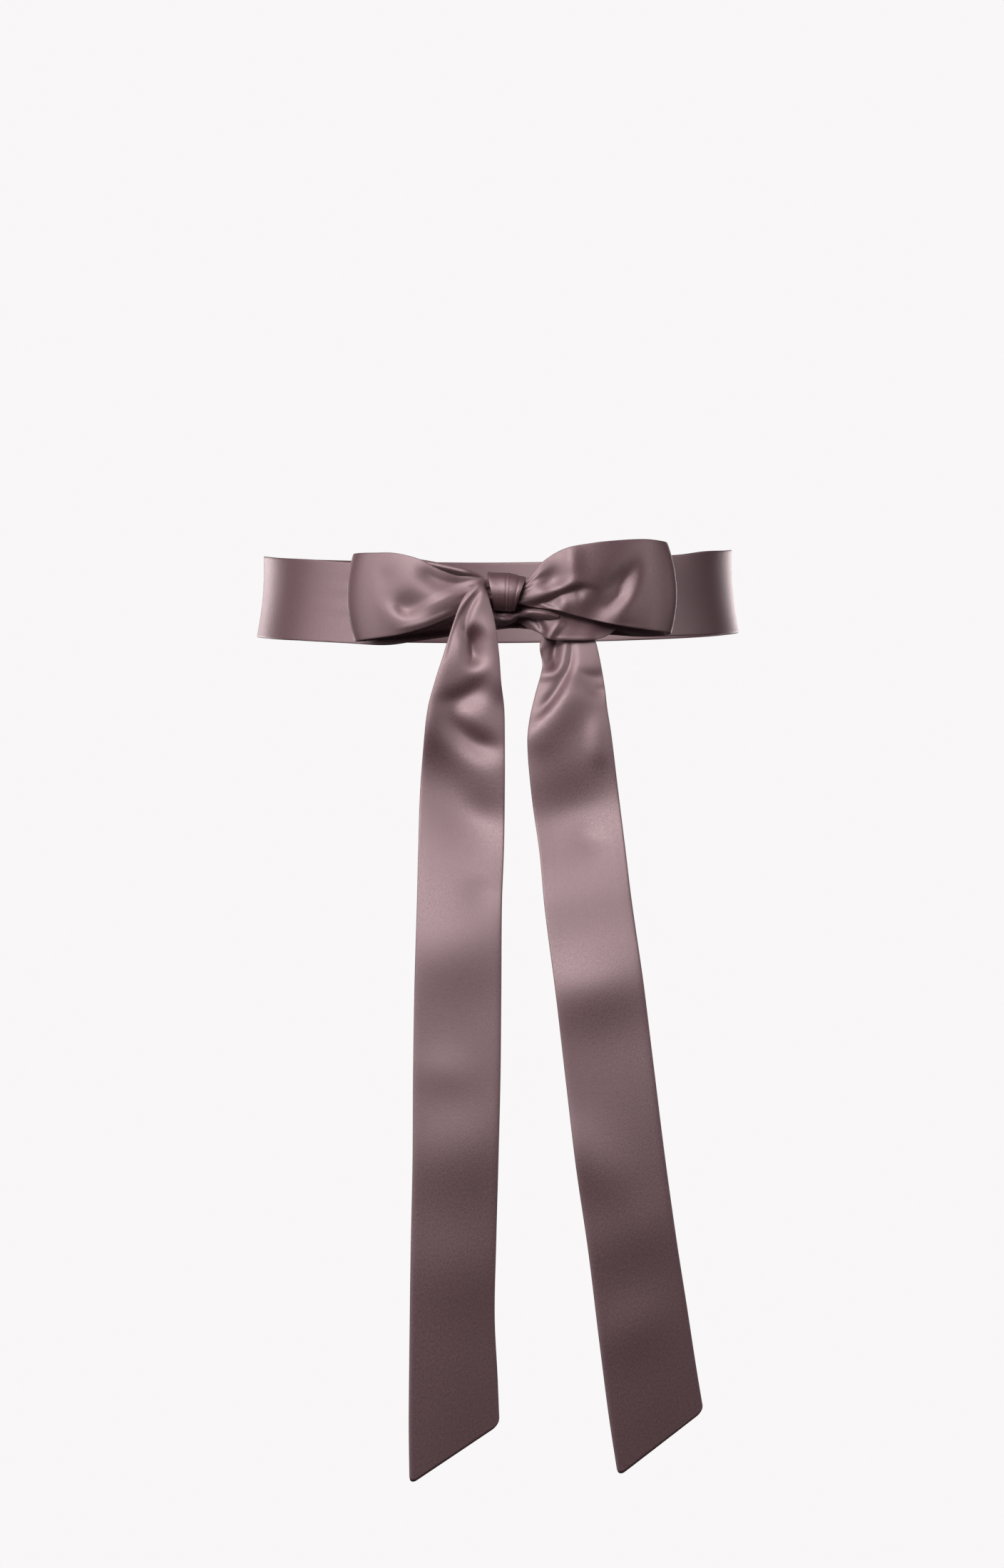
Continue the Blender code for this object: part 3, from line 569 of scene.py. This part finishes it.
def satin(name, seed):
    """Satin of long floats along the ribbon: soft gloss, fine diagonal weave, faint slubs."""
    colours = bpy.context.scene.sash_colours
    material = bpy.data.materials.new(name)
    material.use_nodes = True
    nodes, links = material.node_tree.nodes, material.node_tree.links
    shader = nodes["Principled BSDF"]
    shader.inputs["Metallic"].default_value = 0.0
    shader.inputs["Roughness"].default_value = colours.roughness
    shader.inputs["IOR"].default_value = 2.1
    shader.inputs["Specular IOR Level"].default_value = 1.0
    shader.inputs["Specular Tint"].default_value = (1.0, 0.77, 0.80, 1.0)
    shader.inputs["Anisotropic"].default_value = 0.45
    shader.inputs["Sheen Weight"].default_value = 0.12
    shader.inputs["Sheen Roughness"].default_value = 0.45
    shader.inputs["Sheen Tint"].default_value = (0.92, 0.80, 0.84, 1.0)

    def node(kind, **values):
        made = nodes.new(kind)
        for key, value in values.items():
            setattr(made, key, value)
        return made

    def noise(scale, detail, stretch):
        mapping = node("ShaderNodeMapping")
        mapping.inputs["Scale"].default_value = stretch
        mapping.inputs["Location"].default_value = (seed * 3.7, seed * 1.9, 0.0)
        links.new(cloth.outputs["UV"], mapping.inputs["Vector"])
        made = node("ShaderNodeTexNoise")
        made.inputs["Scale"].default_value = scale
        made.inputs["Detail"].default_value = detail
        made.inputs["Roughness"].default_value = 0.6
        links.new(mapping.outputs["Vector"], made.inputs["Vector"])
        return made.outputs["Fac"]

    def mix_value(factor, low, high):
        made = node("ShaderNodeMapRange")
        made.inputs["To Min"].default_value = low
        made.inputs["To Max"].default_value = high
        links.new(factor, made.inputs["Value"])
        return made.outputs["Result"]

    def maths(operation, first, second):
        made = node("ShaderNodeMath", operation=operation)
        for socket, value in zip(made.inputs, (first, second)):
            if isinstance(value, float):
                socket.default_value = value
            else:
                links.new(value, socket)
        return made.outputs["Value"]

    # The cloth map runs in centimetres: U across the ribbon, V along it
    cloth = node("ShaderNodeUVMap", uv_map="cloth")
    tangent = node("ShaderNodeTangent", direction_type="UV_MAP", uv_map="cloth")
    links.new(tangent.outputs["Tangent"], shader.inputs["Tangent"])

    turn = node("ShaderNodeMapping")
    turn.inputs["Rotation"].default_value = (0.0, 0.0, math.radians(28))
    links.new(cloth.outputs["UV"], turn.inputs["Vector"])
    twill = node("ShaderNodeTexWave", wave_type="BANDS", bands_direction="X")
    twill.inputs["Scale"].default_value = 0.01 / colours.weave_pitch / 3.18
    twill.inputs["Distortion"].default_value = 1.4
    twill.inputs["Detail"].default_value = 2.0
    twill.inputs["Detail Scale"].default_value = 1.6
    links.new(turn.outputs["Vector"], twill.inputs["Vector"])
    grain = noise(8.0, 3.0, (1.0, 0.7, 1.0))
    speckle = noise(24.0, 2.0, (1.0, 0.7, 1.0))
    slubs = noise(5.0, 2.0, (1.0, 0.05, 1.0))
    clouds = noise(0.35, 2.0, (1.0, 0.7, 1.0))

    tone = maths("ADD", mix_value(grain, -1.2, 1.2), mix_value(slubs, -0.06, 0.06))
    tone = maths("ADD", tone, mix_value(clouds, 0.28, 0.72))
    tone = maths("ADD", tone, mix_value(speckle, -0.8, 0.8))
    tone = maths("ADD", tone, mix_value(twill.outputs["Fac"], -0.05, 0.05))
    blend = node("ShaderNodeMix", data_type="RGBA")
    blend.inputs["A"].default_value = (*colours.satin_shade, 1.0)
    blend.inputs["B"].default_value = (*[min(1, c * 1.12) for c in colours.satin], 1.0)
    links.new(tone, blend.inputs["Factor"])
    links.new(blend.outputs["Result"], shader.inputs["Base Color"])

    gloss = maths("ADD", mix_value(grain, -0.11, 0.11), mix_value(speckle, -0.15, 0.15))
    links.new(maths("ADD", gloss, colours.roughness), shader.inputs["Roughness"])

    height = maths("MULTIPLY", twill.outputs["Fac"], 0.12)
    height = maths("ADD", height, maths("MULTIPLY", grain, 0.8))
    height = maths("ADD", height, maths("MULTIPLY", speckle, 0.6))
    height = maths("ADD", height, maths("MULTIPLY", slubs, 0.15))
    bump = node("ShaderNodeBump")
    bump.inputs["Strength"].default_value = colours.weave_depth
    bump.inputs["Distance"].default_value = 0.0006
    links.new(height, bump.inputs["Height"])
    links.new(bump.outputs["Normal"], shader.inputs["Normal"])
    return material


def ribbon(name, place, length, steps, seed, closed=False, width=None):
    """A stretch of ribbon: a grid laid through place(u, v) and given its pressed thickness."""
    sizes = bpy.context.scene.sash_sizes
    width = width or sizes.ribbon_width
    along, across = steps
    deselect_all()
    bpy.ops.mesh.primitive_grid_add(
        x_subdivisions=along, y_subdivisions=across, size=1.0, location=(0, 0, 0), calc_uvs=True
    )
    obj = bpy.context.object
    obj.name = obj.data.name = name
    mesh = obj.data
    mesh.uv_layers[0].name = "cloth"
    wall = obj.vertex_groups.new(name="pressed_edge")
    parts = {}
    for vertex in mesh.vertices:
        u = min(1.0, max(0.0, vertex.co.x + 0.5))
        v = edge_dense(min(1.0, max(0.0, vertex.co.y + 0.5)))
        parts[vertex.index] = (u, v)
        vertex.co = place(u, v)
        inset = min(v, 1 - v) * width
        edge = math.sqrt(max(0.0, 1 - (1 - min(1.0, inset / 0.0016)) ** 2))
        swell = 1 - 0.04 * smoothstep((inset - 0.0075) / 0.0015)
        wall.add([vertex.index], (sizes.edge_share + (1 - sizes.edge_share) * edge) * swell, "REPLACE")
    for loop in mesh.loops:
        u, v = parts[loop.vertex_index]
        mesh.uv_layers[0].data[loop.index].uv = (v * width / 0.01, u * length / 0.01)
    if closed:
        bpy.ops.object.mode_set(mode="EDIT")
        bpy.ops.mesh.select_all(action="SELECT")
        bpy.ops.mesh.remove_doubles(threshold=1e-6)
        bpy.ops.mesh.normals_make_consistent(inside=False)
        bpy.ops.object.mode_set(mode="OBJECT")
    solid = obj.modifiers.new("pressed cloth", "SOLIDIFY")
    solid.thickness = sizes.cloth_thickness
    solid.offset = 0.0
    solid.use_even_offset = False
    solid.vertex_group = "pressed_edge"
    bpy.ops.object.modifier_apply(modifier=solid.name)
    bpy.ops.object.mode_set(mode="EDIT")
    bpy.ops.mesh.select_all(action="SELECT")
    bpy.ops.mesh.normals_make_consistent(inside=False)
    bpy.ops.object.mode_set(mode="OBJECT")
    bpy.ops.object.shade_smooth()
    mesh.materials.append(satin("satin_" + name, seed))
    return obj


def finish_piece(obj, node):
    """The piece stands for its plain CAD solid and rides with it."""
    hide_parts(node)
    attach(obj, "root")
    return obj


class SASH_OT_waist_band(bpy.types.Operator):
    """Lays the band round the waist, flat in front and gathered towards the knot"""

    bl_idname = "sash.waist_band"
    bl_label = "Waist band"

    def execute(self, context):
        sizes = context.scene.sash_sizes
        place, length = band_place(sizes)
        band = ribbon("band_cloth", place, length, (420, 40), 1, closed=True)
        finish_piece(band, "waist_band")
        return {"FINISHED"}


class SASH_OT_loops(bpy.types.Operator):
    """Makes the bow's two loops, each a near and a far layer round one soft fold"""

    bl_idname = "sash.loops"
    bl_label = "Loops of the bow"

    def execute(self, context):
        sizes = context.scene.sash_sizes
        near = 0.42
        left_gathers = (
            (0.02, 0.20, 4.0, 0.35, 0.15),
            (0.99, 0.80, 4.5, 0.55, 0.40),
        )
        place, length = free_stretch_place(
            LOOP_LEFT, LOOP_LEFT_CREASES, near, sizes.crease_depth, left_gathers, 0.10,
            LOOP_LEFT_FAR_CREASES)
        left = ribbon("loop_left_cloth", place, length, (210, 64), 2)
        finish_piece(left, "loop_left")
        right_gathers = (
            (0.02, 0.16, 4.0, 0.30, 0.30),
            (0.99, 0.80, 4.5, 0.55, 0.10),
        )
        place, length = free_stretch_place(
            LOOP_RIGHT, LOOP_RIGHT_CREASES, near, sizes.crease_depth, right_gathers, 0.10,
            LOOP_RIGHT_FAR_CREASES)
        right = ribbon("loop_right_cloth", place, length, (210, 64), 3)
        finish_piece(right, "loop_right")
        return {"FINISHED"}


class SASH_OT_knot(bpy.types.Operator):
    """Makes the turn over the middle, the roll under it and the flap beside it"""

    bl_idname = "sash.knot"
    bl_label = "Knot"

    def execute(self, context):
        sizes = context.scene.sash_sizes
        wrap = ribbon("knot_wrap_cloth", knot_wrap_place, 0.072, (180, 72), 4, closed=True, width=0.024)
        finish_piece(wrap, "knot_wrap")
        place, length = free_stretch_place(
            KNOT_UNDER, KNOT_UNDER_CREASES, 2.0, sizes.crease_depth, (), 0.0)
        under = ribbon("knot_under_cloth", place, length, (110, 40), 5, width=0.012)
        finish_piece(under, "knot_under")
        place, length = free_stretch_place(
            FLAP_RIGHT, FLAP_RIGHT_CREASES, 2.0, sizes.crease_depth, (), 0.0)
        flap = ribbon("flap_right_cloth", place, length, (110, 48), 6, width=0.018)
        finish_piece(flap, "flap_right")
        return {"FINISHED"}


class SASH_OT_tails(bpy.types.Operator):
    """Hangs the two tails, with their creases below the knot and their slanted ends"""

    bl_idname = "sash.tails"
    bl_label = "Tails"

    def execute(self, context):
        sizes = context.scene.sash_sizes
        jobs = (
            ("tail_left", TAIL_LEFT, TAIL_LEFT_CREASES, "knot_wrap", 7, 0.22),
            ("tail_right", TAIL_RIGHT, TAIL_RIGHT_CREASES, "flap_right", 8, 0.22),
        )
        for node, sections, creases, carrier, seed, ripple in jobs:
            whole, length = free_stretch_place(
                sections, creases, 2.0, sizes.crease_depth, (), ripple)

            def place(u, v, whole=whole):
                return whole(u * (1 - corner_cut(v, sizes)), v)

            tail = ribbon(node + "_cloth", place, length, (300, 56), seed)
            finish_piece(
                tail, node)
        return {"FINISHED"}


class SASH_OT_studio(bpy.types.Operator):
    """Sets the pale floor, the soft lights, the surround and the camera behind the wearer"""

    bl_idname = "sash.studio"
    bl_label = "Studio"

    def execute(self, context):
        studio = context.scene.sash_studio
        self.add_floor(studio)
        self.add_lights(studio)
        self.add_surround(context.scene, studio)
        self.add_camera(context.scene)
        context.scene.view_settings.view_transform = "Standard"
        context.scene.view_settings.look = "None"
        return {"FINISHED"}

    def add_floor(self, studio):
        deselect_all()
        bpy.ops.mesh.primitive_circle_add(
            vertices=96, radius=3.0, fill_type="NGON", location=(0, 0, 0))
        floor = bpy.context.object
        floor.name = floor.data.name = "studio_floor"
        for vertex in floor.data.vertices:
            vertex.co.z = -1.0
        material = bpy.data.materials.new("pale_floor")
        material.use_nodes = True
        nodes, links = material.node_tree.nodes, material.node_tree.links
        shader = nodes["Principled BSDF"]
        shader.inputs["Base Color"].default_value = (*studio.ground, 1.0)
        shader.inputs["Roughness"].default_value = 0.85
        places = nodes.new("ShaderNodeTexCoord")
        flat = nodes.new("ShaderNodeVectorMath")
        flat.operation = "MULTIPLY"
        flat.inputs[1].default_value = (1.0, 1.0, 0.0)
        far = nodes.new("ShaderNodeVectorMath")
        far.operation = "LENGTH"
        fade = nodes.new("ShaderNodeMapRange")
        fade.interpolation_type = "SMOOTHSTEP"
        fade.inputs["From Min"].default_value = 0.6
        fade.inputs["From Max"].default_value = 2.9
        fade.inputs["To Min"].default_value = 1.0
        fade.inputs["To Max"].default_value = 0.0
        links.new(places.outputs["Object"], flat.inputs[0])
        links.new(flat.outputs["Vector"], far.inputs[0])
        links.new(far.outputs["Value"], fade.inputs["Value"])
        links.new(fade.outputs["Result"], shader.inputs["Alpha"])
        floor.data.materials.append(material)
        floor.visible_diffuse = floor.visible_glossy = False

    def add_lights(self, studio):
        lights = (
            ("key_light", (-0.50, -1.22, 0.58), (0.8, 0.5), studio.key_power, (0, -0.13, -0.1)),
            ("side_light", (-2.35, -1.25, 0.5), (1.6, 1.5), studio.side_power, (0, -0.1, -0.1)),
            ("top_light", (-0.25, -0.85, 1.25), (0.9, 0.6), studio.key_power * 0.3, (0, -0.13, -0.1)),
            ("right_light", (2.4, -1.1, 0.5), (0.8, 1.4), studio.side_power * 0.5, (0, 0, -0.1)),
            ("front_left_light", (-1.9, 2.3, -0.1), (1.0, 1.2), studio.key_power * 3.2, (0, 0.1, 0)),
            ("front_right_light", (1.5, 2.6, 0.0), (1.2, 1.2), studio.key_power * 3.2, (0, 0.1, 0)),
        )
        for name, place, size, power, target in lights:
            light = bpy.data.lights.new(name, "AREA")
            light.shape = "RECTANGLE"
            light.size, light.size_y = size
            light.energy = power
            lamp = bpy.data.objects.new(name, light)
            bpy.context.scene.collection.objects.link(lamp)
            lamp.location = place
            lamp.rotation_euler = (Vector(target) - Vector(place)).to_track_quat("-Z", "Y").to_euler()

    def add_surround(self, scene, studio):
        world = bpy.data.worlds.new("studio_surround")
        scene.world = world
        world.use_nodes = True
        nodes, links = world.node_tree.nodes, world.node_tree.links
        nodes.clear()
        seen = nodes.new("ShaderNodeBackground")
        seen.inputs["Color"].default_value = (*studio.ground, 1.0)
        felt = nodes.new("ShaderNodeBackground")
        felt.inputs["Color"].default_value = (1.0, 0.88, 0.91, 1.0)
        way = nodes.new("ShaderNodeTexCoord")
        upward = nodes.new("ShaderNodeSeparateXYZ")
        rise = nodes.new("ShaderNodeMapRange")
        rise.inputs["From Min"].default_value = -0.35
        rise.inputs["From Max"].default_value = 0.6
        rise.inputs["To Min"].default_value = studio.surround * 0.35
        rise.inputs["To Max"].default_value = studio.surround * 1.75
        path = nodes.new("ShaderNodeLightPath")
        either = nodes.new("ShaderNodeMixShader")
        output = nodes.new("ShaderNodeOutputWorld")
        links.new(way.outputs["Generated"], upward.inputs["Vector"])
        links.new(upward.outputs["Z"], rise.inputs["Value"])
        links.new(rise.outputs["Result"], felt.inputs["Strength"])
        links.new(path.outputs["Is Camera Ray"], either.inputs["Fac"])
        links.new(felt.outputs["Background"], either.inputs[1])
        links.new(seen.outputs["Background"], either.inputs[2])
        links.new(either.outputs["Shader"], output.inputs["Surface"])

    def add_camera(self, scene):
        camera = bpy.data.cameras.new("view_from_behind")
        camera.sensor_fit = "VERTICAL"
        camera.sensor_height = 24.0
        camera.lens = 24.0 / 2 / math.tan(math.radians(17.607) / 2)
        eye = bpy.data.objects.new("view_from_behind", camera)
        scene.collection.objects.link(eye)
        eye.location = (0.0027, -3.328, -0.276)
        eye.rotation_euler = (math.radians(90 + 2.594), 0.0, 0.0)
        scene.camera = eye


class SASH_PT_panel(bpy.types.Panel):
    """The sash's sizes, colours, pieces and studio"""

    bl_idname = "SASH_PT_panel"
    bl_label = "Satin Sash"
    bl_space_type = "VIEW_3D"
    bl_region_type = "UI"
    bl_category = "Sash"

    def draw(self, context):
        scene = context.scene
        for title, group in (
            ("Sizes", scene.sash_sizes),
            ("Colours", scene.sash_colours),
            ("Studio", scene.sash_studio),
        ):
            box = self.layout.box()
            box.label(text=title)
            for key in group.__annotations__:
                box.prop(group, key)
        column = self.layout.column(align=True)
        for operator in PIECES:
            column.operator(operator.bl_idname)


PIECES = (
    SASH_OT_studio,
    SASH_OT_waist_band,
    SASH_OT_loops,
    SASH_OT_knot,
    SASH_OT_tails,
)
GROUPS = {
    "sash_sizes": SashSizes,
    "sash_colours": SashColours,
    "sash_studio": SashStudio,
}
CLASSES = (*GROUPS.values(), *PIECES, SASH_PT_panel)


def register():
    for made in CLASSES:
        bpy.utils.register_class(made)
    for name, group in GROUPS.items():
        setattr(bpy.types.Scene, name, bpy.props.PointerProperty(type=group))


def unregister():
    for name in GROUPS:
        delattr(bpy.types.Scene, name)
    for made in reversed(CLASSES):
        bpy.utils.unregister_class(made)


def main():
    register()
    bpy.ops.sash.studio()
    bpy.ops.sash.waist_band()
    bpy.ops.sash.loops()
    bpy.ops.sash.knot()
    bpy.ops.sash.tails()


if __name__ == "__main__":
    main()
